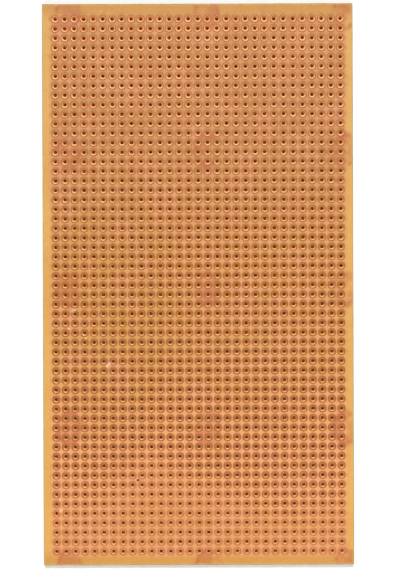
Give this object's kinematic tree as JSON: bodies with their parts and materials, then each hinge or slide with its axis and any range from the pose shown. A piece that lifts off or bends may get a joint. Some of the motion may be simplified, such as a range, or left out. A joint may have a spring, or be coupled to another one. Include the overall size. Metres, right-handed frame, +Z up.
{
  "type": "prototype board",
  "caption": "Flat punched phenolic prototype board with a grid of lead holes, each ringed by a copper solder pad on one side.",
  "frame": {"origin": "middle of the underside, on the surface that the board lies on", "axes": "+X across the board's columns of holes, +Y along them to the far end, +Z up out of the copper side"},
  "size_m": [0.083, 0.15, 0.0016],
  "materials": {
    "laminate": "golden-brown phenolic paper laminate, satin",
    "copper": "lacquered copper foil, satin"
  },
  "bodies": {
    "root": {"laminate": "laminate", "pad_column_01": "copper", "pad_column_02": "copper", "pad_column_03": "copper", "pad_column_04": "copper", "pad_column_05": "copper", "pad_column_06": "copper", "pad_column_07": "copper", "pad_column_08": "copper", "pad_column_09": "copper", "pad_column_10": "copper", "pad_column_11": "copper", "pad_column_12": "copper", "pad_column_13": "copper", "pad_column_14": "copper", "pad_column_15": "copper", "pad_column_16": "copper", "pad_column_17": "copper", "pad_column_18": "copper", "pad_column_19": "copper", "pad_column_20": "copper", "pad_column_21": "copper", "pad_column_22": "copper", "pad_column_23": "copper", "pad_column_24": "copper", "pad_column_25": "copper", "pad_column_26": "copper", "pad_column_27": "copper", "pad_column_28": "copper", "pad_column_29": "copper", "pad_column_30": "copper", "pad_column_31": "copper"}
  },
  "joints": []
}
